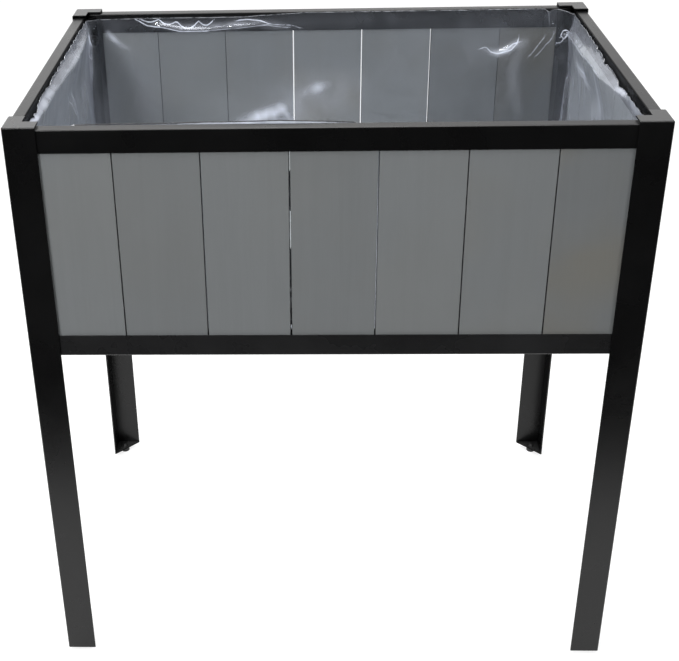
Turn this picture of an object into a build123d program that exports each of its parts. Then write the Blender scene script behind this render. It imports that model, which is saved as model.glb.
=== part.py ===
from build123d import *
import math
import os

# Raised planter on four legs, in millimetres.
# X runs along the width, Y along the depth from front to back, and Z up from the floor.
# The origin is on the floor, below the middle of the planter.
#
# Each side is a panel: a channel rail at the top and one at the bottom hold the ends of
# loose upright boards. At every corner a folded corner plate inside and an angle leg
# outside clamp the two panels that meet there, drawn together by two studs that are
# welded into the leg and never show outside.

# Driving dimensions
WIDTH = 760.0               # over the legs
DEPTH = 520.0               # over the legs
HEIGHT = 800.0              # floor to the top of the leg caps
PANEL_TOP = 796.0           # top of the top rails
PANEL_BOTTOM = 497.0        # underside of the bottom rails

LEG_FLANGE = 39.0           # width of each leg flange
LEG_SHEET = 2.0
LEG_BEND = 2.2              # outside radius of the leg's folds
CAP_ARM = 20.5              # width of each arm of the folded-in cap
FOOT_HEIGHT = 7.0           # how far each glide lifts the leg off the floor
FOOT_RADIUS = 7.5
FOOT_EDGE_RADIUS = 1.2
FOOT_INSET = 13.0           # centre of the glide from the inside of both flanges
FOOT_STEM_RADIUS = 3.9
FOOT_HOLE_RADIUS = 4.0
FOOT_BARB_RADIUS = 4.7
FOOT_BARB_HEIGHT = 4.0

RAIL_DEPTH = 16.0           # across a rail, outside to inside
RAIL_HEIGHT = 28.5
RAIL_SHEET = 1.5
RAIL_BEND = 2.0
RAIL_END_GAP = 19.5         # rail end to the inside of the leg flange it points at
LEDGE_WIDTH = 20.0          # floor ledge on the front and back bottom rails

BOARD_THICKNESS = 12.5
BOARD_EDGE_RADIUS = 0.8
BOARD_END_PLAY = 1.0        # above each board, which stands on the bottom rail's web
LONG_PANEL_BOARDS = 7
SHORT_PANEL_BOARDS = 5
LONG_BOARD_WIDTH = 101.4
SHORT_BOARD_WIDTH = 94.2
EVEN_GAP = 1.2
# Gaps between the boards from left to right; the boards are loose, so they vary.
FRONT_GAPS = [1.0, 1.2, 1.8, 1.2, 1.0, 1.0]
BACK_GAPS = [0.6, 0.6, 1.8, 1.8, 1.8, 0.6]
SIDE_GAPS = [EVEN_GAP] * (SHORT_PANEL_BOARDS - 1)

PLATE_SHEET = 1.5           # corner plates
PLATE_WING = 8.0            # flat wing against each panel
PLATE_SLANT = 14.0          # length of the slanted part, measured along X or Y
PLATE_TOP = 792.0
PLATE_BOTTOM = 500.0

STUD_RADIUS = 3.0
STUD_HEIGHTS = (535.0, 757.0)
STUD_BLOCK = 14.0           # wedge that welds the stud into the leg's corner
STUD_BLOCK_HEIGHT = 14.0
STUD_END = 2.4              # stud showing past its nut
WASHER_RADIUS = 9.0
WASHER_HOLE_RADIUS = 3.2
WASHER_THICKNESS = 1.6
NUT_ACROSS_FLATS = 10.0
NUT_HEIGHT = 5.0

FLOOR_BAR_WIDTH = 30.0
FLOOR_BAR_HEIGHT = 13.5
FLOOR_BAR_SHEET = 1.5
FLOOR_BAR_POSITIONS = (-240.0, 0.0, 240.0)
FLOOR_BAR_BOLT_INSET = 9.0  # bolt centre from the bar's end
FLOOR_BOARDS = 5
FLOOR_BOARD_GAP = 2.0
FLOOR_CLEARANCE = 1.0       # floor boards to the rails round them
FLOOR_CORNER_CLEARANCE = 2.0
BOLT_RADIUS = 2.5
BOLT_HOLE_RADIUS = 2.75
BOLT_HEAD_RADIUS = 4.5
BOLT_HEAD_HEIGHT = 2.8
BOLT_NUT_FLATS = 8.0
BOLT_NUT_HEIGHT = 4.0
BOLT_END = 2.0

LINER_SHEET = 0.6
LINER_CLEARANCE = 0.5
LINER_STUD_CLEARANCE = 1.5
LINER_TOP = 791.0

# Planes that follow from them
LEG_BOTTOM = FOOT_HEIGHT
LEG_IN_X = WIDTH / 2 - LEG_SHEET
LEG_IN_Y = DEPTH / 2 - LEG_SHEET
PANEL_IN_X = LEG_IN_X - RAIL_DEPTH
PANEL_IN_Y = LEG_IN_Y - RAIL_DEPTH
LONG_RAIL_HALF = LEG_IN_X - RAIL_END_GAP
SHORT_RAIL_HALF = LEG_IN_Y - RAIL_END_GAP
LEDGE_TOP = PANEL_BOTTOM + RAIL_SHEET
BOARD_BOTTOM = LEDGE_TOP
BOARD_TOP = PANEL_TOP - RAIL_SHEET - BOARD_END_PLAY
FLOOR_BAR_TOP = LEDGE_TOP + FLOOR_BAR_HEIGHT
FLOOR_TOP = FLOOR_BAR_TOP + BOARD_THICKNESS
# Along the diagonal, from the leg's inside corner
PLATE_REACH = (2 * RAIL_DEPTH + PLATE_SLANT) / math.sqrt(2)
NUT_REACH = PLATE_REACH + PLATE_SHEET + WASHER_THICKNESS
STUD_REACH = NUT_REACH + NUT_HEIGHT + STUD_END

CORNERS = {
    "front_left": (-1, -1),
    "front_right": (1, -1),
    "back_left": (-1, 1),
    "back_right": (1, 1),
}


def slab(x0, x1, y0, y1, z0, z1):
    """A block between two planes on each axis."""
    centre = Pos((x0 + x1) / 2, (y0 + y1) / 2, (z0 + z1) / 2)
    return centre * Box(x1 - x0, y1 - y0, z1 - z0)


def prism(points, z0, z1):
    """An upright prism over a polygon given as (x, y) points."""
    outline = make_face(Polyline(*points, close=True))
    return Pos(0, 0, z0) * extrude(outline, amount=z1 - z0, dir=(0, 0, 1))


def to_corner(shape, corner):
    """Mirror a shape made for the back right corner into another corner."""
    side_x, side_y = CORNERS[corner]
    if side_x < 0:
        shape = mirror(shape, about=Plane.YZ)
    if side_y < 0:
        shape = mirror(shape, about=Plane.XZ)
    return shape


def turned(shape, angle):
    """Turn a shape about the planter's upright centre line."""
    return Rot(0, 0, angle) * shape


def edges_on(shape, axis, *limits):
    """Straight edges along an axis whose middles lie on the given (index, value) planes."""
    return [
        edge
        for edge in shape.edges().filter_by(axis)
        if all(abs(tuple(edge.center())[index] - value) < 0.01 for index, value in limits)
    ]


# ---------------------------------------------------------------- legs and feet

def angle_outline(arm):
    """The leg's outer corner with two arms of one width, LEG_FLANGE long."""
    x, y = WIDTH / 2, DEPTH / 2
    return [
        (x, y),
        (x - LEG_FLANGE, y),
        (x - LEG_FLANGE, y - arm),
        (x - arm, y - arm),
        (x - arm, y - LEG_FLANGE),
        (x, y - LEG_FLANGE),
    ]


def make_leg():
    """Folded angle with an L-shaped cap folded in at the top and a foot plate below."""
    leg = prism(angle_outline(LEG_SHEET), LEG_BOTTOM, HEIGHT)
    leg += prism(angle_outline(CAP_ARM), HEIGHT - LEG_SHEET, HEIGHT)
    foot_plate = prism(
        [
            (LEG_IN_X, LEG_IN_Y),
            (WIDTH / 2 - LEG_FLANGE, LEG_IN_Y),
            (LEG_IN_X, DEPTH / 2 - LEG_FLANGE),
        ],
        LEG_BOTTOM,
        LEG_BOTTOM + LEG_SHEET,
    )
    leg += foot_plate
    folds = edges_on(leg, Axis.Z, (0, WIDTH / 2), (1, DEPTH / 2))
    folds += edges_on(leg, Axis.Y, (0, WIDTH / 2), (2, HEIGHT))
    folds += edges_on(leg, Axis.X, (1, DEPTH / 2), (2, HEIGHT))
    leg = fillet(folds, LEG_BEND)
    return leg - glide_axis() * Cylinder(FOOT_HOLE_RADIUS, 3 * LEG_SHEET)


def glide_axis():
    """Place on the centre of the foot plate, at the leg's lower end."""
    return Pos(LEG_IN_X - FOOT_INSET, LEG_IN_Y - FOOT_INSET, LEG_BOTTOM)


def make_glide():
    """Push-in plastic glide: a round pad, a stem through the foot plate and a barb."""
    pad = Pos(0, 0, -FOOT_HEIGHT / 2) * Cylinder(FOOT_RADIUS, FOOT_HEIGHT)
    pad = fillet(pad.edges().group_by(Axis.Z)[0], FOOT_EDGE_RADIUS)
    stem = Pos(0, 0, LEG_SHEET / 2) * Cylinder(FOOT_STEM_RADIUS, LEG_SHEET)
    barb_middle = LEG_SHEET + FOOT_BARB_HEIGHT / 2
    barb = Pos(0, 0, barb_middle) * Cone(FOOT_BARB_RADIUS, FOOT_STEM_RADIUS / 2, FOOT_BARB_HEIGHT)
    return glide_axis() * (pad + stem + barb)


# ---------------------------------------------------------------- rails

def make_channel(half_length, low, high, web_low, web_high, distance):
    """Channel along X at the back: a bar between two heights, open away from its web."""
    inside = distance - RAIL_DEPTH
    bar = slab(-half_length, half_length, inside, distance, low, high)
    slot_low = web_high if web_low == low else low
    slot_high = web_low if web_high == high else high
    slot_inside = inside + RAIL_SHEET
    slot_outside = distance - RAIL_SHEET
    return bar - slab(-half_length, half_length, slot_inside, slot_outside, slot_low, slot_high)


def make_top_rail(half_length, distance):
    """Top rail of the back panel, or of a side panel before it is turned."""
    low = PANEL_TOP - RAIL_HEIGHT
    rail = make_channel(half_length, low, PANEL_TOP, PANEL_TOP - RAIL_SHEET, PANEL_TOP, distance)
    folds = edges_on(rail, Axis.X, (2, PANEL_TOP))
    return fillet(folds, RAIL_BEND)


def make_bottom_rail(half_length, distance, ledge_width=0.0):
    """Bottom rail: the same channel the other way up, with or without a floor ledge."""
    high = PANEL_BOTTOM + RAIL_HEIGHT
    rail = make_channel(half_length, PANEL_BOTTOM, high, PANEL_BOTTOM, LEDGE_TOP, distance)
    folds = edges_on(rail, Axis.X, (1, distance), (2, PANEL_BOTTOM))
    if not ledge_width:
        folds += edges_on(rail, Axis.X, (1, distance - RAIL_DEPTH), (2, PANEL_BOTTOM))
    rail = fillet(folds, RAIL_BEND)
    if ledge_width:
        rail += make_ledge(half_length - ledge_width, distance - RAIL_DEPTH, ledge_width)
    return rail


def make_ledge(half_length, outer, width):
    """Floor ledge that carries the web of a bottom rail inwards, with its bolt holes."""
    ledge = slab(-half_length, half_length, outer - width, outer, PANEL_BOTTOM, LEDGE_TOP)
    for x in FLOOR_BAR_POSITIONS:
        ledge -= Pos(x, bar_bolt_distance(), LEDGE_TOP) * Cylinder(BOLT_HOLE_RADIUS, 4 * RAIL_SHEET)
    return ledge


# ---------------------------------------------------------------- boards

def make_board(width, height):
    """Upright board in the middle of a channel, its left edge at x = 0."""
    half = BOARD_THICKNESS / 2
    board = slab(0, width, -half, half, 0, height)
    return fillet(board.edges().filter_by(Axis.Z), BOARD_EDGE_RADIUS)


def make_panel_boards(count, width, gaps, distance):
    """Boards of the back panel, or of a side panel before it is turned, left to right."""
    middle = distance - RAIL_DEPTH / 2
    left = -(count * width + sum(gaps)) / 2
    boards = []
    for number in range(count):
        x = left + number * width + sum(gaps[:number])
        boards.append(Pos(x, middle, BOARD_BOTTOM) * make_board(width, BOARD_TOP - BOARD_BOTTOM))
    return boards


# ---------------------------------------------------------------- corner plates and studs

def make_corner_plate():
    """Folded plate that lies on the rails of two panels and slants across the corner."""
    x, y, sheet, wing, slant = PANEL_IN_X, PANEL_IN_Y, PLATE_SHEET, PLATE_WING, PLATE_SLANT
    turn = sheet * math.tan(math.radians(22.5))
    plate = prism(
        [
            (x - slant - wing, y),
            (x - slant, y),
            (x, y - slant),
            (x, y - slant - wing),
            (x - sheet, y - slant - wing),
            (x - sheet, y - slant - turn),
            (x - slant - turn, y - sheet),
            (x - slant - wing, y - sheet),
        ],
        PLATE_BOTTOM,
        PLATE_TOP,
    )
    for height in STUD_HEIGHTS:
        plate -= stud_axis(height) * Cylinder(WASHER_HOLE_RADIUS, 4 * PLATE_REACH)
    return plate


def stud_axis(height):
    """Plane in the leg's inside corner, its z axis pointing diagonally into the planter."""
    return Plane(origin=(LEG_IN_X, LEG_IN_Y, height), z_dir=(-1, -1, 0))


def rod(radius, start, end):
    """A cylinder between two heights."""
    return Pos(0, 0, (start + end) / 2) * Cylinder(radius, end - start)


def hexagon(flats, start, end):
    """A hexagonal prism between two heights."""
    outline = RegularPolygon(flats / 2, 6, major_radius=False)
    return Pos(0, 0, start) * extrude(outline, amount=end - start)


def make_stud(height):
    """Threaded stud on the wedge that is welded into the leg's corner."""
    x, y = LEG_IN_X, LEG_IN_Y
    low, high = height - STUD_BLOCK_HEIGHT / 2, height + STUD_BLOCK_HEIGHT / 2
    wedge = prism([(x, y), (x - STUD_BLOCK, y), (x, y - STUD_BLOCK)], low, high)
    stud = rod(STUD_RADIUS, STUD_BLOCK / 2, STUD_REACH)
    return wedge + stud_axis(height) * stud


def make_washer(height):
    start = PLATE_REACH + PLATE_SHEET
    ring = rod(WASHER_RADIUS, start, NUT_REACH) - rod(WASHER_HOLE_RADIUS, start, NUT_REACH)
    return stud_axis(height) * ring


def make_nut(height):
    end = NUT_REACH + NUT_HEIGHT
    nut = hexagon(NUT_ACROSS_FLATS, NUT_REACH, end) - rod(STUD_RADIUS, NUT_REACH, end)
    return stud_axis(height) * nut


def at_every_stud(make_piece):
    """One piece on each stud of each corner."""
    return Compound(
        children=[
            to_corner(make_piece(height), corner)
            for corner in CORNERS
            for height in STUD_HEIGHTS
        ]
    )


# ---------------------------------------------------------------- planter floor

def bar_bolt_distance():
    """Distance of the floor bars' bolts from the planter's middle plane."""
    return PANEL_IN_Y - FLOOR_CLEARANCE - FLOOR_BAR_BOLT_INSET


def make_floor_bar(x):
    """Channel from front to back that opens upwards and lies on the two ledges."""
    half_length = PANEL_IN_Y - FLOOR_CLEARANCE
    half = FLOOR_BAR_WIDTH / 2
    inside = half - FLOOR_BAR_SHEET
    web_top = LEDGE_TOP + FLOOR_BAR_SHEET
    bar = slab(x - half, x + half, -half_length, half_length, LEDGE_TOP, FLOOR_BAR_TOP)
    bar -= slab(x - inside, x + inside, -half_length, half_length, web_top, FLOOR_BAR_TOP)
    for side in (-1, 1):
        hole = Pos(x, side * bar_bolt_distance(), LEDGE_TOP)
        bar -= hole * Cylinder(BOLT_HOLE_RADIUS, 4 * FLOOR_BAR_SHEET)
    return bar


def make_floor_boards():
    """Boards along X that lie on the floor bars, notched round the corner plates."""
    half_length = PANEL_IN_X - FLOOR_CLEARANCE
    half_depth = PANEL_IN_Y - FLOOR_CLEARANCE
    width = (2 * half_depth - (FLOOR_BOARDS - 1) * FLOOR_BOARD_GAP) / FLOOR_BOARDS
    notch_size = PLATE_SLANT + PLATE_WING + FLOOR_CORNER_CLEARANCE
    notch = prism(
        [
            (PANEL_IN_X, PANEL_IN_Y),
            (PANEL_IN_X - notch_size, PANEL_IN_Y),
            (PANEL_IN_X, PANEL_IN_Y - notch_size),
        ],
        FLOOR_BAR_TOP,
        FLOOR_TOP,
    )
    boards = []
    for number in range(FLOOR_BOARDS):
        front = -half_depth + number * (width + FLOOR_BOARD_GAP)
        board = slab(-half_length, half_length, front, front + width, FLOOR_BAR_TOP, FLOOR_TOP)
        board = fillet(board.edges().filter_by(Axis.X), BOARD_EDGE_RADIUS)
        for corner in CORNERS:
            board -= to_corner(notch, corner)
        boards.append(board)
    return boards


def at_every_bar_bolt(piece):
    """One piece at each end of each floor bar, placed on the top of the ledge."""
    return Compound(
        children=[
            Pos(x, side * bar_bolt_distance(), LEDGE_TOP) * piece
            for x in FLOOR_BAR_POSITIONS
            for side in (-1, 1)
        ]
    )


def make_bar_bolt():
    """Bolt from below, through the ledge and the web of the floor bar."""
    head_top = -RAIL_SHEET
    head = rod(BOLT_HEAD_RADIUS, head_top - BOLT_HEAD_HEIGHT, head_top)
    head = fillet(head.edges().group_by(Axis.Z)[0], BOLT_HEAD_HEIGHT / 2)
    shank = rod(BOLT_RADIUS, head_top, FLOOR_BAR_SHEET + BOLT_NUT_HEIGHT + BOLT_END)
    return head + shank


def make_bar_nut():
    start = FLOOR_BAR_SHEET
    end = start + BOLT_NUT_HEIGHT
    return hexagon(BOLT_NUT_FLATS, start, end) - rod(BOLT_RADIUS, start, end)


# ---------------------------------------------------------------- liner

def make_liner():
    """Open bag of plastic film, slanted across the corners where the nuts stand."""
    slant_reach = math.sqrt(2) * (STUD_REACH + LINER_STUD_CLEARANCE)

    def outline(inset):
        x = PANEL_IN_X - LINER_CLEARANCE - inset
        y = PANEL_IN_Y - LINER_CLEARANCE - inset
        cut = slant_reach + math.sqrt(2) * inset - (LEG_IN_X - x) - (LEG_IN_Y - y)
        return [
            (x - cut, y),
            (x, y - cut),
            (x, cut - y),
            (x - cut, -y),
            (cut - x, -y),
            (-x, cut - y),
            (-x, y - cut),
            (cut - x, y),
        ]

    bottom = FLOOR_TOP + LINER_CLEARANCE
    bag = prism(outline(0), bottom, LINER_TOP)
    return bag - prism(outline(LINER_SHEET), bottom + LINER_SHEET, LINER_TOP)


# ---------------------------------------------------------------- assembly

def make_parts():
    """Every node of the planter by name."""
    parts = {}
    leg, glide, plate = make_leg(), make_glide(), make_corner_plate()
    for corner in CORNERS:
        parts[f"{corner}_leg"] = to_corner(leg, corner)
        parts[f"{corner}_foot_glide"] = to_corner(glide, corner)
        parts[f"{corner}_corner_plate"] = to_corner(plate, corner)

    long_top = make_top_rail(LONG_RAIL_HALF, LEG_IN_Y)
    short_top = make_top_rail(SHORT_RAIL_HALF, LEG_IN_X)
    long_bottom = make_bottom_rail(LONG_RAIL_HALF, LEG_IN_Y, LEDGE_WIDTH)
    short_bottom = make_bottom_rail(SHORT_RAIL_HALF, LEG_IN_X)
    for side, angle, top, bottom in (
        ("back", 0, long_top, long_bottom),
        ("front", 180, long_top, long_bottom),
        ("left", 90, short_top, short_bottom),
        ("right", -90, short_top, short_bottom),
    ):
        parts[f"{side}_top_rail"] = turned(top, angle)
        parts[f"{side}_bottom_rail"] = turned(bottom, angle)

    for side, angle, count, width, gaps, distance in (
        ("back", 0, LONG_PANEL_BOARDS, LONG_BOARD_WIDTH, BACK_GAPS, LEG_IN_Y),
        ("front", 180, LONG_PANEL_BOARDS, LONG_BOARD_WIDTH, FRONT_GAPS[::-1], LEG_IN_Y),
        ("left", 90, SHORT_PANEL_BOARDS, SHORT_BOARD_WIDTH, SIDE_GAPS, LEG_IN_X),
        ("right", -90, SHORT_PANEL_BOARDS, SHORT_BOARD_WIDTH, SIDE_GAPS, LEG_IN_X),
    ):
        boards = make_panel_boards(count, width, gaps, distance)
        if side in ("front", "right"):
            boards.reverse()
        for number, board in enumerate(boards, 1):
            parts[f"{side}_board_{number}"] = turned(board, angle)

    for number, x in enumerate(FLOOR_BAR_POSITIONS, 1):
        parts[f"floor_bar_{number}"] = make_floor_bar(x)
    for number, board in enumerate(make_floor_boards(), 1):
        parts[f"floor_board_{number}"] = board

    parts["corner_studs"] = at_every_stud(make_stud)
    parts["corner_washers"] = at_every_stud(make_washer)
    parts["corner_nuts"] = at_every_stud(make_nut)
    parts["floor_bar_bolts"] = at_every_bar_bolt(make_bar_bolt())
    parts["floor_bar_nuts"] = at_every_bar_bolt(make_bar_nut())
    parts["liner"] = make_liner()
    return parts


os.makedirs("parts", exist_ok=True)
for name, shape in make_parts().items():
    export_step(shape, f"parts/{name}.step")
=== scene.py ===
import math

import bpy
import numpy as np
from mathutils import Matrix, Vector


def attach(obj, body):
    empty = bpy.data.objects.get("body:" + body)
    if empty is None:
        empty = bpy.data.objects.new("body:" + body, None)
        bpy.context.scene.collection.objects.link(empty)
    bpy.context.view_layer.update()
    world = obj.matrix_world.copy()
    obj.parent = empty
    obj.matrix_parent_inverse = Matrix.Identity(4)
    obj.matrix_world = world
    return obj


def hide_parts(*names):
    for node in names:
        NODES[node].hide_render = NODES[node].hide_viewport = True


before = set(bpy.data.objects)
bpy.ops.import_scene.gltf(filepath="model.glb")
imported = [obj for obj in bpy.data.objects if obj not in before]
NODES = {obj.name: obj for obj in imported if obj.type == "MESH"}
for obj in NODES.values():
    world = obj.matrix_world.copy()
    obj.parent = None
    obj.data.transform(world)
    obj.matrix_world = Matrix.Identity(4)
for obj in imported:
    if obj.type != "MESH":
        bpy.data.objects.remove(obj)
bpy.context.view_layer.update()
SCENE = bpy.context.scene
MM = 0.001

# ---------------------------------------------------------------- camera
SENSOR = 36.0
LENS = 64.43
CAMERA_AT = (-0.0262, -1.5639, 1.2724)
PITCH_DOWN = 28.60
HEADING = 2.66
ROLL = -1.50
SHIFT_X = 0.1141
SHIFT_Y = -0.0283


def make_camera():
    """A camera in front, a little left of the middle, that looks down into the tray."""
    data = bpy.data.cameras.new("camera")
    data.sensor_width = SENSOR
    data.lens = LENS
    data.shift_x = SHIFT_X
    data.shift_y = SHIFT_Y
    data.clip_start = 0.05
    data.clip_end = 50.0
    camera = bpy.data.objects.new("camera", data)
    SCENE.collection.objects.link(camera)
    turn = Matrix.Rotation(math.radians(HEADING), 4, "Z")
    tilt = Matrix.Rotation(math.radians(90 - PITCH_DOWN), 4, "X")
    roll = Matrix.Rotation(math.radians(ROLL), 4, "Z")
    camera.matrix_world = Matrix.Translation(CAMERA_AT) @ turn @ tilt @ roll
    SCENE.camera = camera


# ---------------------------------------------------------------- node helpers
def new_material(name):
    """A material with an empty tree, its tree and its output's Surface socket."""
    material = bpy.data.materials.new(name)
    material.use_nodes = True
    tree = material.node_tree
    tree.nodes.clear()
    out = tree.nodes.new("ShaderNodeOutputMaterial")
    return material, tree, out.inputs["Surface"]


def node(tree, kind, inputs=None, **settings):
    """Adds a node. inputs are values or sockets by the name or number of the input."""
    made = tree.nodes.new("ShaderNode" + kind)
    for key, value in settings.items():
        setattr(made, key, value)
    for key, value in (inputs or {}).items():
        if isinstance(value, bpy.types.NodeSocket):
            tree.links.new(value, made.inputs[key])
        else:
            made.inputs[key].default_value = value
    return made


def place(tree, scale=(1, 1, 1), move=(0, 0, 0)):
    """Coordinates in metres in the model's frame, moved and scaled."""
    where = node(tree, "TexCoord").outputs["Object"]
    return node(tree, "Mapping", {"Vector": where, "Scale": scale, "Location": move}).outputs[0]


def noise(tree, vector, scale, detail=3.0, rough=0.5, warp=0.0):
    """Noise from 0 to 1 at so many waves to the metre."""
    inputs = {"Vector": vector, "Scale": scale, "Detail": detail, "Roughness": rough}
    inputs["Distortion"] = warp
    return node(tree, "TexNoise", inputs).outputs["Fac"]


def ramp(tree, fac, stops):
    """A colour ramp. stops are (position, grey or colour)."""
    made = node(tree, "ValToRGB", {"Fac": fac})
    elements = made.color_ramp.elements
    while len(elements) < len(stops):
        elements.new(0.5)
    for element, (at, colour) in zip(elements, stops):
        element.position = at
        grey = isinstance(colour, (int, float))
        element.color = (colour, colour, colour, 1) if grey else (*colour, 1)
    return made.outputs[0]


def span(tree, value, low, high, from_low=0.0, from_high=1.0):
    """value taken from one range to another."""
    inputs = {0: value, 1: from_low, 2: from_high, 3: low, 4: high}
    return node(tree, "MapRange", inputs).outputs[0]


def mix_colour(tree, fac, a, b):
    """Colour a going over to colour b. Any of the three may be a socket."""
    made = node(tree, "Mix", data_type="RGBA")
    for socket, value in ((made.inputs[0], fac), (made.inputs[6], a), (made.inputs[7], b)):
        if isinstance(value, bpy.types.NodeSocket):
            tree.links.new(value, socket)
        elif isinstance(value, (int, float)):
            socket.default_value = value
        else:
            socket.default_value = (*value, 1)
    return made.outputs[2]


def bump(tree, height, strength, distance, under=None):
    """A normal roughened by height, over the normal under where one is given."""
    inputs = {"Height": height, "Strength": strength, "Distance": distance}
    if under is not None:
        inputs["Normal"] = under
    return node(tree, "Bump", inputs).outputs[0]


# ---------------------------------------------------------------- materials
def powder_coat(name, tone=1.0, top_highlight=0.0):
    """Satin black powder coat: orange peel about a millimetre across, faint uneven gloss. Faces
    that look in across the tray from its two ends get almost no specular: painted shade, as they
    lie in shade. Faces that look up may be mixed towards grey: a painted highlight on the lit tops."""
    material, tree, surface = new_material(name)
    here = place(tree)
    cloud = noise(tree, here, 9.0, 4.0, 0.6)
    speck = noise(tree, here, 420.0, 2.0, 0.6)
    peel = noise(tree, here, 1100.0, 2.0, 0.55)
    darker, lighter, fleck = ((tone * a, tone * a, tone * b) for a, b in
                              ((0.0025, 0.0026), (0.004, 0.0042), (0.006, 0.006)))
    colour = ramp(tree, cloud, [(0.3, darker), (0.75, lighter)])
    colour = mix_colour(tree, span(tree, speck, 0.0, 0.35, 0.55, 0.85), colour, fleck)
    gloss = span(tree, cloud, 0.24, 0.32, 0.3, 0.7)
    around = node(tree, "NewGeometry")
    facing = node(tree, "SeparateXYZ", {0: around.outputs["Normal"]})
    side = node(tree, "SeparateXYZ", {0: around.outputs["Position"]}).outputs[0]
    outward = node(tree, "Math", {0: facing.outputs[0], 1: side}, operation="MULTIPLY").outputs[0]
    # Faces that look up are mixed towards grey: a painted highlight on the lit tops.
    top_highlight_share = span(tree, facing.outputs[2], 0.0, top_highlight, 0.7, 0.95)
    colour = mix_colour(tree, top_highlight_share, colour, (0.5, 0.5, 0.5))
    shader = node(tree, "BsdfPrincipled", {
        "Base Color": colour, "Roughness": gloss, "Specular IOR Level": 0.36,
        "Normal": bump(tree, peel, 0.25, 0.0002)})
    # Faces looking in across the tray from its ends lose their specular: painted shade.
    painted_shade_specular = span(tree, outward, 0.02, 0.36, -0.2, -0.05)
    tree.links.new(painted_shade_specular, shader.inputs["Specular IOR Level"])
    tree.links.new(shader.outputs[0], surface)
    return material


def stained_board(name, seed, tone, warm, across):
    """Smooth board with a matt blue-grey stain: very faint upright grain and soft clouds. Its
    edges, which face along the axis numbered across, are nearly black: painted shade in the
    seams between the boards and beside the legs."""
    material, tree, surface = new_material(name)
    shift = (seed * 1.37, seed * 0.71, seed * 2.13)
    here = place(tree, move=shift)
    along = place(tree, scale=(1.0, 1.0, 0.045), move=shift)
    fibre = noise(tree, along, 420.0, 4.0, 0.62)
    figure = noise(tree, along, 62.0, 3.0, 0.55, 1.2)
    cloud = noise(tree, here, 11.0, 3.0, 0.55)
    tint = noise(tree, here, 6.0, 2.0, 0.5)
    base = tuple(tone * c for c in (0.965, 1.02, 1.045))
    dark = tuple(0.955 * c for c in base)
    colour = mix_colour(tree, span(tree, figure, 0.0, 1.0, 0.3, 0.7), dark, base)
    pale = tuple(1.09 * c for c in base)
    colour = mix_colour(tree, span(tree, fibre, 0.0, 0.3, 0.45, 0.75), colour, pale)
    olive = tuple(tone * c for c in (1.02, 1.0, 0.9))
    colour = mix_colour(tree, span(tree, tint, 0.0, warm, 0.45, 0.65), colour, olive)
    faded = tuple(1.1 * c for c in base)
    colour = mix_colour(tree, span(tree, cloud, 0.0, 0.3, 0.5, 0.8), colour, faded)
    knots = node(tree, "TexVoronoi", {"Vector": place(tree, (1, 1, 0.6), shift), "Scale": 9.0,
                                      "Randomness": 1.0}).outputs["Distance"]
    knot = span(tree, knots, 0.3, 0.0, 0.0, 0.03)
    colour = mix_colour(tree, knot, colour, tuple(0.55 * c for c in base))
    normal = node(tree, "NewGeometry").outputs["Normal"]
    facing = node(tree, "SeparateXYZ", {0: normal}).outputs[across]
    seam_facing = node(tree, "Math", {0: facing}, operation="ABSOLUTE").outputs[0]
    painted_seam_shade = tuple(0.15 * c for c in base)
    # Edges facing the seams are darkened nearly to black: painted shade.
    colour = mix_colour(tree, span(tree, seam_facing, 0.0, 1.0, 0.5, 0.85), colour, painted_seam_shade)
    rough = span(tree, fibre, 0.52, 0.66, 0.3, 0.7)
    grain = bump(tree, fibre, 0.35, 0.00025)
    shader = node(tree, "BsdfPrincipled", {
        "Base Color": colour, "Roughness": rough, "Specular IOR Level": 0.35,
        "Normal": bump(tree, figure, 0.2, 0.0006, grain)})
    tree.links.new(shader.outputs[0], surface)
    return material


def moulded_plastic():
    """Matt black moulded plastic with a fine spark-eroded texture."""
    material, tree, surface = new_material("moulded_plastic")
    here = place(tree)
    grain = noise(tree, here, 1500.0, 2.0, 0.6)
    cloud = noise(tree, here, 60.0, 2.0, 0.5)
    colour = ramp(tree, cloud, [(0.3, (0.012, 0.012, 0.012)), (0.7, (0.02, 0.02, 0.021))])
    shader = node(tree, "BsdfPrincipled", {
        "Base Color": colour, "Roughness": span(tree, cloud, 0.5, 0.62),
        "Specular IOR Level": 0.4, "Normal": bump(tree, grain, 0.3, 0.0002)})
    tree.links.new(shader.outputs[0], surface)
    return material


def black_zinc():
    """Black zinc plate: dark, with slight spangle and duller patches."""
    material, tree, surface = new_material("black_zinc")
    here = place(tree)
    patch = noise(tree, here, 180.0, 3.0, 0.6)
    fine = noise(tree, here, 2200.0, 2.0, 0.5)
    colour = ramp(tree, patch, [(0.3, (0.03, 0.03, 0.032)), (0.7, (0.07, 0.07, 0.075))])
    shader = node(tree, "BsdfPrincipled", {
        "Base Color": colour, "Metallic": 1.0, "Roughness": span(tree, patch, 0.28, 0.42),
        "Normal": bump(tree, fine, 0.2, 0.00006)})
    tree.links.new(shader.outputs[0], surface)
    return material


def either_side(tree, ior):
    """A refractive index for a Fresnel node that gives a thin sheet the same shine on both faces."""
    behind = node(tree, "NewGeometry").outputs["Backfacing"]
    return span(tree, behind, ior, 1 / ior)


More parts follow.
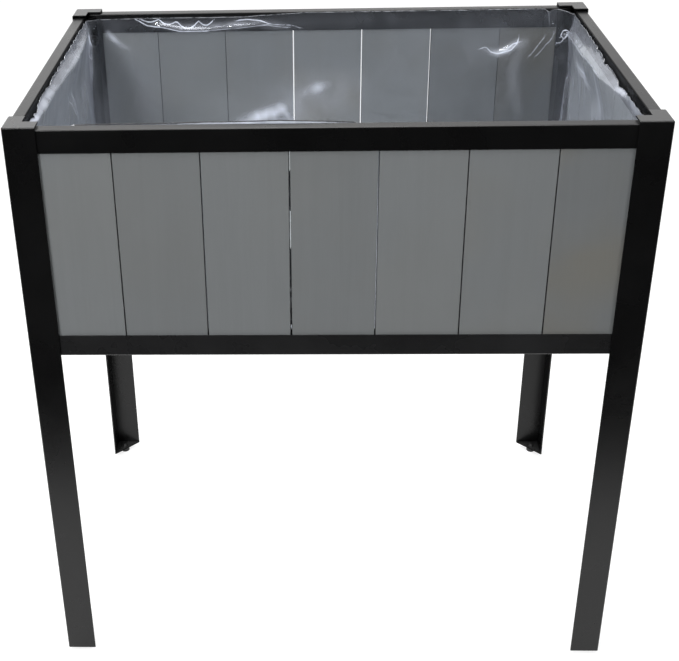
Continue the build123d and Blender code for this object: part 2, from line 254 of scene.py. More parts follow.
def painted_crease_highlights(tree, breaks):
    """How bright the painted highlights along the film's sharp creases are, from each point's
    distance to them in millimetres.
    """
    apart = node(tree, "Attribute", attribute_name="crease_distance").outputs["Vector"]
    share = node(tree, "Attribute", attribute_name="crease_share").outputs["Fac"]
    split = node(tree, "SeparateXYZ", {0: apart})
    total = None
    for k in range(3):
        size = node(tree, "Math", {0: split.outputs[k]}, operation="ABSOLUTE").outputs[0]
        line = node(tree, "MapRange", {0: size, 1: 0.25, 2: 1.15, 3: 1.0, 4: 0.0},
                    interpolation_type="SMOOTHSTEP").outputs[0]
        if total is not None:
            line = node(tree, "Math", {0: total, 1: line}, operation="MAXIMUM").outputs[0]
        total = line
    # Noise breaks up the painted crease highlights.
    broken_up = span(tree, breaks, 0.45, 1.0, 0.35, 0.6)
    total = node(tree, "Math", {0: total, 1: share}, operation="MULTIPLY").outputs[0]
    return node(tree, "Math", {0: total, 1: broken_up}, operation="MULTIPLY").outputs[0]


def clear_film():
    """Clear polythene film: sharp shine with a softer one round it, a trace of blue-grey haze that
    thickens where it is seen along its surface, whiter patches that are partly haze and partly
    painted glow, and painted highlights along its creases. It is scuffed dull where it lies on
    the floor."""
    material, tree, surface = new_material("clear_film")
    here = place(tree)
    crease = noise(tree, here, 55.0, 5.0, 0.62, 1.6)
    fine = noise(tree, here, 240.0, 3.0, 0.6, 0.8)
    haze = noise(tree, here, 14.0, 3.0, 0.6, 0.6)
    normal = bump(tree, fine, 0.03, 0.0006, bump(tree, crease, 0.15, 0.002))
    clear = node(tree, "BsdfTransparent", {"Color": (0.96, 0.972, 0.99, 1)})
    where = node(tree, "NewGeometry").outputs["Position"]
    height = node(tree, "SeparateXYZ", {0: where}).outputs[2]
    scuffed = span(tree, height, 1.0, 0.0, 0.54, 0.6)
    sharp = node(tree, "BsdfGlossy", {"Color": (0.93, 0.95, 1, 1), "Normal": normal,
                                      "Roughness": span(tree, scuffed, 0.05, 0.5)})
    soft = node(tree, "BsdfGlossy", {"Color": (0.88, 0.93, 1, 1), "Normal": normal,
                                     "Roughness": span(tree, scuffed, 0.32, 0.55)})
    gloss = node(tree, "MixShader", {0: 0.4, 1: sharp.outputs[0], 2: soft.outputs[0]})
    milk = node(tree, "BsdfDiffuse", {"Color": (0.66, 0.70, 0.80, 1), "Normal": normal})
    mirror = node(tree, "Fresnel", {"IOR": either_side(tree, 1.8), "Normal": normal})
    shiny = node(tree, "MixShader", {0: mirror.outputs[0], 1: clear.outputs[0], 2: gloss.outputs[0]})
    cloudy = span(tree, haze, 0.01, 0.035, 0.35, 0.75)
    graze = node(tree, "LayerWeight", {"Blend": 0.5}).outputs["Facing"]
    bloom = node(tree, "MapRange", {0: graze, 1: 0.35, 2: 1.0, 3: 0.0, 4: 0.17}).outputs[0]
    white = node(tree, "Attribute", attribute_name="white").outputs["Fac"]
    # The white attribute adds haze and painted glow, the crease lines painted highlights.
    for extra in (bloom, white, painted_crease_highlights(tree, crease)):
        cloudy = node(tree, "Math", {0: cloudy, 1: extra}, operation="ADD", use_clamp=True).outputs[0]
    film = node(tree, "MixShader", {0: cloudy, 1: shiny.outputs[0], 2: milk.outputs[0]})
    tree.links.new(film.outputs[0], surface)
    return material


def film_edge(name, glow):
    """The film's cut edge, which curls, painted whitish so it reads as a thin white line: a
    painted highlight. glow is how strongly it shines of itself, a painted glint."""
    material, tree, surface = new_material(name)
    here = place(tree)
    broken = noise(tree, here, 90.0, 3.0, 0.6)
    clear = node(tree, "BsdfTransparent", {"Color": (1, 1, 1, 1)})
    painted_highlight = node(tree, "BsdfPrincipled", {
        "Base Color": ramp(tree, broken, [(0.3, (0.55, 0.57, 0.62)), (0.7, (0.9, 0.91, 0.94))]),
        "Emission Color": (0.86, 0.93, 0.92, 1), "Emission Strength": glow, "Roughness": 0.15})
    share = span(tree, broken, 0.35, 0.9, 0.4, 0.6)
    film = node(tree, "MixShader", {0: share, 1: clear.outputs[0], 2: painted_highlight.outputs[0]})
    tree.links.new(film.outputs[0], surface)
    return material


def film_painted_dark():
    """Film painted nearly black: on the front hem a painted reflection of the black rails, behind the
    gap between the front boards painted shade.
    """
    material, tree, surface = new_material("film_painted_dark")
    here = place(tree)
    broken = noise(tree, here, 120.0, 3.0, 0.6)
    clear = node(tree, "BsdfTransparent", {"Color": (1, 1, 1, 1)})
    dark = node(tree, "BsdfPrincipled", {
        "Base Color": ramp(tree, broken, [(0.3, (0.008, 0.008, 0.01)), (0.7, (0.03, 0.03, 0.034))]),
        "Roughness": 0.3, "Specular IOR Level": 0.3})
    share = span(tree, broken, 0.8, 0.98, 0.3, 0.5)
    film = node(tree, "MixShader", {0: share, 1: clear.outputs[0], 2: dark.outputs[0]})
    tree.links.new(film.outputs[0], surface)
    return material


def pale_floor():
    """White paper over a light table, with a faint unevenness."""
    material, tree, surface = new_material("pale_floor")
    here = place(tree)
    grain = noise(tree, here, 30.0, 3.0, 0.5)
    colour = mix_colour(tree, grain, (0.36, 0.36, 0.36), (0.39, 0.39, 0.39))
    shader = node(tree, "BsdfPrincipled", {
        "Base Color": colour, "Roughness": 0.85, "Specular IOR Level": 0.1,
        "Emission Color": (1, 1, 1, 1), "Emission Strength": 0.75})
    tree.links.new(shader.outputs[0], surface)
    return material


# ---------------------------------------------------------------- finishing the CAD nodes
def finish_node(name, material, round_edge=0.0):
    """Gives a CAD node its material and, where asked, slightly rounded edges."""
    obj = NODES[name]
    for slot in obj.material_slots:
        slot.material = material
    if not obj.material_slots:
        obj.data.materials.append(material)
    if round_edge:
        weld = obj.modifiers.new("weld", "WELD")
        weld.merge_threshold = 0.00001
        bevel = obj.modifiers.new("bevel", "BEVEL")
        bevel.width = round_edge
        bevel.segments = 2
        bevel.limit_method = "ANGLE"
        bevel.angle_limit = math.radians(40)
        bevel.harden_normals = True


FIXINGS = ("corner_studs", "corner_washers", "corner_nuts", "floor_bar_bolts", "floor_bar_nuts")


def finish_frame():
    """Materials for everything but the boards and the liner."""
    coat = powder_coat("powder_coat")
    # The legs get a painted highlight on the faces that look up.
    leg_coat = powder_coat("powder_coat_legs", top_highlight=0.06)
    # The bottom rails get a copy of the coat four times lighter: painted light on them.
    lit_low_coat = powder_coat("powder_coat_low_lit", tone=4.0)
    plastic = moulded_plastic()
    zinc = black_zinc()
    for name in NODES:
        if name.endswith("glide"):
            finish_node(name, plastic)
        elif name in FIXINGS:
            finish_node(name, zinc)
        elif name.endswith("leg"):
            finish_node(name, leg_coat)
        elif name.endswith("bottom_rail"):
            finish_node(name, lit_low_coat)
        elif "board" not in name and name != "liner":
            finish_node(name, coat)


BOARD_TONE = 0.186
BOARD_EDGE = 0.4 * MM
USUAL_WARMTH, BACK_WARMTH = 0.12, 0.35
# Boards with a tone of their own: share of the usual tone, and how brown. Back boards 6 and 7
# and front board 7 are darker as painted shade, where those parts of the panels lie in shade;
# the other two differ in stain.
TONE_AND_PAINTED_SHADE = {
    "front_board_6": (0.97, 0.3),
    "front_board_7": (0.86, 0.9),
    "back_board_4": (1.02, 0.9),
    "back_board_6": (0.66, 1.0),
    "back_board_7": (0.54, 1.0),
}


def finish_boards():
    """A material for each board, as no two take a stain alike; some are darkened as painted shade."""
    rng = np.random.default_rng(7)
    for name in sorted(n for n in NODES if "board" in n):
        tone = BOARD_TONE * (1 + 0.03 * rng.standard_normal())
        warm = BACK_WARMTH if name.startswith("back") else USUAL_WARMTH
        if name in TONE_AND_PAINTED_SHADE:
            share, warm = TONE_AND_PAINTED_SHADE[name]
            tone = share * BOARD_TONE
        across = 0 if name.startswith(("front", "back")) else 1
        stain = stained_board("stain_" + name, rng.uniform(1, 90), tone, warm, across)
        finish_node(name, stain, BOARD_EDGE)


# ---------------------------------------------------------------- studio
def area_light(name, at, aim, wide, high, power):
    """A soft white light at one place, turned to another."""
    data = bpy.data.lights.new(name, "AREA")
    data.shape = "RECTANGLE"
    data.size = wide
    data.size_y = high
    data.energy = power
    light = bpy.data.objects.new(name, data)
    SCENE.collection.objects.link(light)
    light.location = at
    light.rotation_mode = "QUATERNION"
    light.rotation_quaternion = (Vector(aim) - Vector(at)).to_track_quat("-Z", "Y")
    light.visible_camera = False


def make_world():
    """A white surround to look at, lit brightly from behind and above and dimly from the front."""
    world = bpy.data.worlds.new("studio")
    world.use_nodes = True
    tree = world.node_tree
    tree.nodes.clear()
    way = node(tree, "TexCoord").outputs["Generated"]
    split = node(tree, "SeparateXYZ", {0: way})
    behind = node(tree, "MapRange", {0: split.outputs[1], 1: -0.25, 2: 0.45, 3: 0.0, 4: 1.0},
                  interpolation_type="SMOOTHSTEP").outputs[0]
    side = span(tree, split.outputs[0], 1.5, 0.72, -0.5, 0.5)
    glow = node(tree, "CombineColor", {0: side, 1: side, 2: side}).outputs[0]
    lit = mix_colour(tree, behind, (0.02, 0.02, 0.02), glow)
    light = node(tree, "Background", {"Color": lit, "Strength": 1.0})
    seen = node(tree, "Background", {"Color": (1, 1, 1, 1), "Strength": 1.0})
    looking = node(tree, "LightPath").outputs["Is Camera Ray"]
    both = node(tree, "MixShader", {0: looking, 1: light.outputs[0], 2: seen.outputs[0]})
    node(tree, "OutputWorld", {"Surface": both.outputs[0]})
    SCENE.world = world


def make_floor():
    """The floor, from a little in front of the planter to far behind it."""
    mesh = bpy.data.meshes.new("floor")
    steps, half, front = 24, 6.0, -0.7
    points = [(x, y, 0.0) for y in np.linspace(front, half, steps + 1)
              for x in np.linspace(-half, half, steps + 1)]
    row = steps + 1
    faces = [(j * row + i, j * row + i + 1, (j + 1) * row + i + 1, (j + 1) * row + i)
             for j in range(steps) for i in range(steps)]
    mesh.from_pydata(points, [], faces)
    mesh.materials.append(pale_floor())
    floor = bpy.data.objects.new("floor", mesh)
    SCENE.collection.objects.link(floor)


def make_studio():
    """The surround, the floor and three soft lights."""
    make_world()
    make_floor()
    area_light("overhead", (-0.15, 0.0, 2.7), (0, 0.1, 0.5), 2.6, 1.8, 86)
    area_light("front_left", (-1.5, -2.3, 2.3), (0, 0, 0.6), 1.0, 1.0, 68)
    area_light("front_right", (1.7, -2.1, 2.0), (0, 0, 0.6), 0.6, 0.6, 18)


# ---------------------------------------------------------------- the film liner
# The film's walls, its slanted corners (where |x| + |y| is SLANT) and the floor it lies on.
WALL_X, WALL_Y = 0.3615, 0.2415
SLANT = 0.5844
CUT_X, CUT_Y = SLANT - WALL_Y, SLANT - WALL_X
FLOOR_Z = 0.5262
# How finely the film is divided: along the walls and corners, in the hem and below it.
LONG_STEPS, SHORT_STEPS, SLANT_STEPS = 216, 140, 8
HEM_ROWS, HEM_STEP = 18, 0.002
WALL_ROWS = 56
ROLLED_ROWS = 2
# Before it settles, the film stands this far off the walls, and its fine crumples and broad
# billows stand off by about this much more.
FILM_GAP, CRUMPLE, BILLOW = 0.8 * MM, 2 * MM, 4 * MM
# How the film settles: number of steps, speed kept from step to step, most it moves and how far
# it falls in a step, and how stiff it is against stretch, shear and bending.
SETTLE_STEPS, SPEED_KEPT, MOST_MOVE, FALL = 60, 0.9, 0.001, 0.00002
STRETCH, SHEAR, BEND = 1.0, 0.6, 0.12
# The floor of film is smoothed this many times, then raised in ripples up to this high.
FLOOR_PASSES, RIPPLE = 300, 0.006
# Points and faces of the walls with y below this are in the front wall.
IN_FRONT = -0.22
# Between these places, where the front hem's curled edge lies beyond HEM_FOLD_Y, it is painted dark:
# a painted reflection of the black rail.
HEM_FOLD_X, HEM_FOLD_Y = (-0.3, 0.025), -0.238
# Millimetres, well past the reach of a crease.
FAR_FROM_CREASE = 20.0
# In the corners the film is drawn over the nuts, whose ends are where |x| + |y| is NUT_DIAGONAL,
# like a tent with a flat tip of a given radius and slopes of a given reach.
NUT_HEIGHTS = (0.535, 0.757)
NUT_DIAGONAL = 0.5752
TENT_CLEAR, TENT_TIP, TENT_REACH = 1 * MM, 0.0035, 0.0125
# Where the film is painted dark behind one of the gaps between the front boards: painted shade in
# that seam.
PINCH_X, PINCH_HALF, PINCH_LOW, PINCH_TOP = -0.0512, 0.0034, 0.53, 0.766
# The narrow fold that stands out through this gap between each pair of heights in POKES: its
# place, half its width, its foot, and how far its crest and its feet stand out.
FOLD_X, FOLD_HALF = -0.0510, 0.0005
FOLD_FOOT_Y, CREST_OUT, FOOT_OUT = -0.2420, 0.0133, 0.0004
POKES = ((0.636, 0.688), (0.736, 0.772))


def wall_loop():
    """Points round the walls, clockwise from above from the middle of the back left corner,
    the inward direction and the distance along at each, and the distance right round."""
    stops = [(-CUT_X, WALL_Y), (CUT_X, WALL_Y), (WALL_X, CUT_Y), (WALL_X, -CUT_Y),
             (CUT_X, -WALL_Y), (-CUT_X, -WALL_Y), (-WALL_X, -CUT_Y), (-WALL_X, CUT_Y)]
    counts = [LONG_STEPS, SLANT_STEPS, SHORT_STEPS, SLANT_STEPS] * 2
    points = []
    for k, count in enumerate(counts):
        a, b = np.array(stops[k]), np.array(stops[(k + 1) % 8])
        points += [a + (b - a) * i / count for i in range(count)]
    points = np.roll(np.array(points), SLANT_STEPS // 2, axis=0)
    ahead, back = np.roll(points, -1, axis=0), np.roll(points, 1, axis=0)
    way = (ahead - back) / np.linalg.norm(ahead - back, axis=1)[:, None]
    inward = np.stack([way[:, 1], -way[:, 0]], axis=1)
    along = np.concatenate([[0], np.cumsum(np.linalg.norm(ahead - points, axis=1))])
    return points, inward, along[:-1], along[-1]


def at_wall(wall, place_on_wall):
    """Distance along the loop of a place on a wall: X on the back and front, Y on the sides."""
    slant = math.sqrt(2) * (WALL_X - CUT_X)
    back = slant / 2
    right = back + 2 * CUT_X + slant
    front = right + 2 * CUT_Y + slant
    left = front + 2 * CUT_X + slant
    return {"back": back + CUT_X + place_on_wall, "right": right + CUT_Y - place_on_wall,
            "front": front + CUT_X - place_on_wall, "left": left + CUT_Y + place_on_wall}[wall]


def value_noise(points, scale, seed, octaves=3):
    """Smooth noise from -1 to 1 at 2-D points, the same each run."""
    total, size = np.zeros(len(points)), 0.0
    for k in range(octaves):
        rng = np.random.default_rng(seed + 17 * k)
        grid = rng.uniform(-1, 1, (64, 64))
        p = points / scale * 2 ** k + rng.uniform(0, 64, 2)
        cell = np.floor(p).astype(int)
        f = p - cell
        f = f * f * (3 - 2 * f)
        c = [grid[(cell[:, 0] + i) % 64, (cell[:, 1] + j) % 64] for j in (0, 1) for i in (0, 1)]
        low = c[0] + (c[1] - c[0]) * f[:, 0]
        high = c[2] + (c[3] - c[2]) * f[:, 0]
        total += (low + (high - low) * f[:, 1]) / 2 ** k
        size += 1 / 2 ** k
    return total / size


def to_line(s, z, line):
    """Distance to a broken line of (s, z, height), how far above it, and its height there."""
    best = np.full(s.shape, 9.0)
    above, tall = np.zeros(s.shape), np.zeros(s.shape)
    for (s0, z0, h0), (s1, z1, h1) in zip(line, line[1:]):
        ds, dz = s1 - s0, z1 - z0
        t = np.clip(((s - s0) * ds + (z - z0) * dz) / (ds * ds + dz * dz), 0, 1)
        off = np.hypot(s - s0 - t * ds, z - z0 - t * dz)
        near = off < best
        best = np.where(near, off, best)
        above = np.where(near, z - z0 - t * dz, above)
        tall = np.where(near, h0 + t * (h1 - h0), tall)
    return best, above, tall


# A swag is a fold that stands off the wall below the rail: film runs up and out from it to the
# edge. Places are (along the wall, height, how far it stands off), all in millimetres.
SWAGS = [
    ("left", 14, [(220, 790, 2), (205, 783, 5), (155, 778, 9), (90, 777, 11.5), (25, 779, 10.5),
                  (-100, 780, 8), (-195, 781, 6), (-220, 784, 2)]),
    ("right", 16, [(220, 764, 8), (170, 767, 11), (110, 771, 13), (35, 775, 14), (-30, 777, 13),
                   (-95, 780, 6), (-125, 781, 2)]),
    ("back", 8, [(-290, 788, 0), (-255, 778, 3), (-220, 771, 4), (-180, 771, 4), (-90, 779, 3),
                 (-40, 776, 2), (-5, 776, 0)]),
]
# Creases: folds of a given width across, in the same terms.
CREASES = [
    ("back", 5.0, [(-330, 768, 2), (-321, 759, 3), (-306, 748, 0)]),
    ("back", 26.0, [(-150, 620, 0), (-108, 640, 2), (-76, 652, 2.5), (-60, 638, 0)]),
    ("back", 34.0, [(-60, 660, 0), (-10, 684, 3), (40, 694, 0)]),
    ("back", 4.0, [(230, 744, 0), (255, 733, 3), (275, 741, 4), (285, 758, 0)]),
    ("back", 3.0, [(322, 758, 3), (312, 742, 4), (300, 725, 0)]),
    ("back", 3.0, [(338, 762, 3), (325, 743, 4), (310, 722, 0)]),
    ("back", 5.0, [(326, 782, 3), (327, 765, 3), (336, 752, 3)]),
    ("back", 18.0, [(290, 740, 3), (282, 700, 4), (290, 660, 3), (310, 620, 0)]),
    ("back", 20.0, [(-300, 740, 3), (-290, 680, 4), (-300, 600, 0)]),
    ("right", 3.5, [(152, 746, 0), (118, 745, 4), (91, 741, 4), (60, 738, 0)]),
    ("right", 12.0, [(212, 700, 6), (200, 660, 11), (205, 600, 13), (205, 540, 8)]),
    ("right", 30.0, [(60, 700, 0), (40, 640, 7), (60, 590, 0)]),
    ("left", 3.5, [(46, 752, 0), (58, 728, 4), (64, 704, 5), (90, 680, 0)]),
    ("left", 3.5, [(14, 750, 0), (38, 730, 4), (56, 709, 4)]),
    ("left", 24.0, [(160, 752, 0), (150, 690, 6), (156, 600, 0)]),
]
# Where the film is painted whiter: width and (place, height, strength). A little of it is haze,
# where the film is hazy or lies double; most of it is painted light: painted highlights along
# folds, a painted glow of reflected light on the back wall and a broad painted lightening of
# the left wall.
HAZE_AND_PAINTED_GLOW = [
    ("back", 10, [(-136, 628, 0.45), (-108, 642, 0.7), (-85, 649, 0.8), (-72, 654, 0.75)]),
    ("back", 20, [(-120, 618, 0.5), (-85, 626, 0.55), (-66, 630, 0.4)]),
    ("back", 5, [(-76, 660, 0.45), (-70, 656, 0.55), (-65, 648, 0.55), (-61, 639, 0.4)]),
    ("back", 9, [(-40, 671, 0.2), (-30, 682, 0.35), (-16, 687, 0.7), (1, 692, 0.3)]),
    ("back", 34, [(-60, 655, 0.16), (-20, 672, 0.2), (30, 690, 0.08)]),
    ("back", 40, [(60, 700, 0.0), (140, 740, 0.06), (240, 752, 0.08)]),
    ("back", 4, [(-331, 770, 0.35), (-323, 762, 0.5), (-312, 753, 0.25), (-294, 745, 0)]),
    ("back", 9, [(-335, 781, 0.03), (-150, 781, 0.03), (0, 785, 0.035), (335, 785, 0.03)]),
    ("back", 5, [(228, 745, 0.1), (244, 738, 0.3), (255, 735, 0.4), (268, 738, 0.4),
                 (283, 750, 0.3)]),
    ("back", 10, [(290, 748, 0.14), (280, 705, 0.1), (288, 660, 0.08), (304, 630, 0)]),
    ("back", 30, [(-290, 730, 0.06), (-280, 660, 0.1), (-290, 590, 0.08)]),
    ("back", 6, [(-262, 782, 0.12), (-215, 776, 0.2), (-160, 777, 0.2), (-110, 781, 0.2),
                 (-60, 778, 0.1)]),
    ("front", 3, [(-200, 795, 0.2), (-145, 796.5, 0.6), (-60, 797, 0.6), (-5, 796, 0.4),
                  (20, 795, 0.1)]),
    ("left", 7, [(-60, 785, 0.1), (-120, 786, 0.3), (-180, 784, 0.4), (-215, 785, 0.4)]),
    ("left", 8, [(221, 778, 0.28), (222, 752, 0.28), (221, 722, 0.26), (217, 698, 0.14)]),
    ("left", 3, [(224, 771, 0.5), (220, 752, 0.5), (223, 741, 0.3)]),
    ("left", 6, [(52, 735, 0.2), (64, 704, 0.3), (90, 680, 0.3), (100, 650, 0.1)]),
    ("left", 26, [(170, 740, 0.02), (160, 660, 0.08), (164, 580, 0.06)]),
    ("left", 11, [(230, 668, 0.06), (230, 630, 0.12), (230, 550, 0.16)]),
    ("left", 160, [(-150, 640, 0.12), (100, 660, 0.12)]),
    ("right", 7, [(-60, 782, 0.1), (-100, 783, 0.25), (-160, 783, 0.25), (-210, 785, 0.2)]),
    ("right", 7, [(152, 744, 0.1), (118, 744, 0.35), (85, 740, 0.35), (60, 737, 0)]),
    ("right", 24, [(205, 690, 0.06), (200, 620, 0.1), (205, 550, 0.08)]),
    ("right", 14, [(63, 708, 0.02), (20, 722, 0.12), (-2, 735, 0.16)]),
]
# Where the film is pulled taut over the back left corner plate, clearer than elsewhere.
TAUT = [
    ("left", 9, [(240, 772, 0.14), (242, 730, 0.16), (242, 690, 0.1), (242, 660, 0)]),
]
# A painted highlight line runs along four loops of film side by side under the back rail: where they
# meet and how deep they hang.
LOOP_ENDS = [(-280, 788), (-254, 788), (-227, 785), (-194, 785), (-173, 784)]
LOOP_DEPTHS = (3.5, 5.5, 10.5, 6)


def loops():
    """The hanging loops as one broken line of (place, height)."""
    line = [LOOP_ENDS[0]]
    for (x0, z0), (x1, z1), depth in zip(LOOP_ENDS, LOOP_ENDS[1:], LOOP_DEPTHS):
        for t in (0.2, 0.4, 0.6, 0.8, 1.0):
            line.append((x0 + t * (x1 - x0), z0 + t * (z1 - z0) - depth * math.sin(math.pi * t)))
    return line


# Painted highlights along creases, drawn as thin white lines: group, wall, strength and
# (place, height). No two in a group come close to each other.
CREASE_HIGHLIGHTS = [
    (0, "back", 0.8, loops()),
    (1, "back", 0.9, [(-290, 789), (-272, 780), (-247, 776), (-225, 770.5), (-185, 770)]),
    (1, "back", 0.35, [(-185, 770), (-130, 774), (-90, 778), (-60, 776)]),
    (2, "back", 0.75, [(-135, 785), (-120, 786), (-100, 784), (-90, 780)]),
    (2, "back", 0.3, [(-90, 780), (-55, 779), (-40, 775)]),
    (0, "back", 0.6, [(230, 743), (237, 745), (245, 737), (255, 734), (274, 739), (283, 749),
                      (285, 758)]),
    (1, "back", 0.8, [(272, 744), (277, 748), (283, 750)]),
    (1, "back", 0.55, [(303, 730), (321, 755)]),
    (2, "back", 0.45, [(313, 730), (330, 750), (336, 761)]),
    (0, "back", 0.2, [(326, 790), (329, 774)]),
    (1, "back", 0.95, [(344, 748), (347, 749)]),
    (0, "back", 0.5, [(347, 749), (353, 751), (362, 762)]),
    (0, "left", 0.6, [(48, 747), (60, 725), (65, 703), (93, 678)]),
    (1, "left", 0.45, [(16, 749), (38, 729), (55, 709)]),
    (1, "left", 0.9, [(225, 771), (224, 762)]),
    (0, "left", 0.7, [(216, 753), (219, 746), (223, 741)]),
    (2, "left", 0.2, [(218, 786), (227, 758), (227, 722), (214, 670)]),
    (2, "right", 0.35, [(150, 745), (90, 741), (60, 738)]),
    (0, "right", 0.3, [(152, 740), (120, 737), (66, 733)]),
    (1, "right", 0.22, [(220, 764), (110, 771), (35, 775), (-30, 777)]),
    (2, "right", 0.85, [(239.5, 762), (238, 767), (234, 768.5), (231, 768)]),
    (2, "right", 0.85, [(238, 759), (235, 757), (232, 758), (229, 762)]),
]
# The film's top edge: heights along each wall.
EDGE = [
    ("back", [(-338, 788), (-290, 789), (-130, 789), (-80, 792), (-35, 794.5), (321, 795),
              (326, 789.5), (331, 794), (340, 794)]),
    ("right", [(215, 791), (180, 792), (105, 792), (40, 790), (5, 787), (-45, 787),
               (-85, 784.5), (-185, 785), (-225, 787)]),
    ("front", [(330, 788), (35, 791), (22, 795.5), (-60, 798), (-145, 797), (-190, 796),
               (-300, 795.5), (-310, 790)]),
    ("left", [(-225, 786), (-175, 785), (-140, 790), (-75, 790.5), (40, 792.5), (155, 792.5),
              (215, 791.5)]),
]


def on_loop(wall, points, s, round_it, unit=1.0):
    """Points given in millimetres as (along the loop, height, value times unit) in metres, and s
    counted so that it runs on through them where the loop closes."""
    line = [(at_wall(wall, place_on_wall * MM), height * MM, *(v * unit for v in value))
            for place_on_wall, height, *value in points]
    middle = np.mean([p[0] for p in line])
    return line, middle + (s - middle + round_it / 2) % round_it - round_it / 2


def haze_and_painted_glow(s, z, round_it):
    """How white the film is painted at each point, up to about half, in soft uneven streaks, from
    haze and from painted highlights and glow; below 0 where it is clearer than usual."""
    white = np.zeros(s.shape)
    where = np.stack([s.ravel(), z.ravel()], axis=1)
    wisp = value_noise(where * (1, 0.45), 0.018, 41, 4).reshape(s.shape)
    wisp = np.clip(0.95 + 0.8 * wisp, 0, 1.6)

    def patch(wall, width, points):
        line, here = on_loop(wall, points, s, round_it)
        near, _, share = to_line(here, z, line)
        return share * np.exp(-(near / (width * MM)) ** 2)

    for streak in HAZE_AND_PAINTED_GLOW:
        white = np.maximum(white, patch(*streak) * wisp)
    for clear in TAUT:
        white = white - patch(*clear)
    return white


def crease_lines(s, z, round_it):
    """Signed distance in millimetres to the nearest painted crease highlight of each group, and how
    bright.
    """
    apart = np.full(s.shape + (3,), FAR_FROM_CREASE)
    share = np.zeros(s.shape)
    for group, wall, strength, points in CREASE_HIGHLIGHTS:
        line, here = on_loop(wall, points, s, round_it)
        for (s0, z0), (s1, z1) in zip(line, line[1:]):
            ds, dz = s1 - s0, z1 - z0
            t = np.clip(((here - s0) * ds + (z - z0) * dz) / (ds * ds + dz * dz), 0, 1)
            off_s, off_z = here - s0 - t * ds, z - z0 - t * dz
            off = 1000 * np.hypot(off_s, off_z) * np.where(ds * off_z - dz * off_s < 0, -1, 1)
            nearer = np.abs(off) < np.abs(apart[..., group])
            apart[..., group] = np.where(nearer, off, apart[..., group])
            share = np.maximum(share, strength * np.clip(2 - np.abs(off) / 4, 0, 1))
    return apart, share


def film_seed(s, z, round_it):
    """How far the folds stand off the walls before the film settles, and how freely it moves."""
    out, loose = np.zeros(s.shape), np.ones(s.shape)
    for wall, fall, points in SWAGS:
        line, here = on_loop(wall, points, s, round_it, MM)
        near, above, tall = to_line(here, z, line)
        loose = np.where((near < 0.003) & (tall > 0.003), 0.0, loose)
        inside = (here > min(p[0] for p in line)) & (here < max(p[0] for p in line))
        up = np.clip(1 - above / np.maximum(z[:1] - (z - above), 0.002), 0, 1)
        down = np.exp(-(above / (fall * MM)) ** 2)
        out = np.maximum(out, inside * tall * np.where(above > 0, up, down))
    for wall, width, points in CREASES:
        line, here = on_loop(wall, points, s, round_it, MM)
        near, _, tall = to_line(here, z, line)
        out += tall * np.exp(-np.sqrt((near / (width * MM)) ** 2 + 0.15) + 0.387)
        loose = np.where((near < 0.0025) & (tall > 0.003), np.minimum(loose, 0.25), loose)
    return out, loose


def corner_distance(loop):
    """How far each point of the loop is from the slanted corners' planes."""
    return (SLANT - np.abs(loop[:, 0]) - np.abs(loop[:, 1])) / math.sqrt(2)


def corner_room(points):
    """How far each point is inside the slanted corner, negative beyond it, with the nuts' tents."""
    depth = SLANT - np.abs(points[..., 0]) - np.abs(points[..., 1])
    beside = np.abs(points[..., 0]) - np.abs(points[..., 1]) - (WALL_X - WALL_Y)
    across = np.abs(beside) / math.sqrt(2)
    for height in NUT_HEIGHTS:
        r = np.hypot(across, points[..., 2] - height)
        tent = np.clip(1 - (r - TENT_TIP) / TENT_REACH, 0, 1)
        depth = depth - (SLANT - NUT_DIAGONAL + TENT_CLEAR) * tent
    return depth


def keep_inside(p):
    """Moves points back inside the walls, the slanted corners and the floor."""
    np.clip(p[..., 0], -WALL_X, WALL_X, out=p[..., 0])
    np.clip(p[..., 1], -WALL_Y, WALL_Y, out=p[..., 1])
    short = np.minimum(corner_room(p), 0) / 2
    p[..., 0] += np.sign(p[..., 0]) * short
    p[..., 1] += np.sign(p[..., 1]) * short
    np.maximum(p[..., 2], FLOOR_Z, out=p[..., 2])


def pull(p, a, b, rest, stiff, free_a, free_b):
    """Brings two sets of points to their rest distance apart."""
    d = p[b] - p[a]
    size = np.sqrt((d * d).sum(-1)) + 1e-9
    share = free_a + free_b
    d *= (stiff * (size - rest) / size / np.maximum(share, 1e-6))[..., None]
    p[a] += d * free_a[..., None]
    p[b] -= d * free_b[..., None]


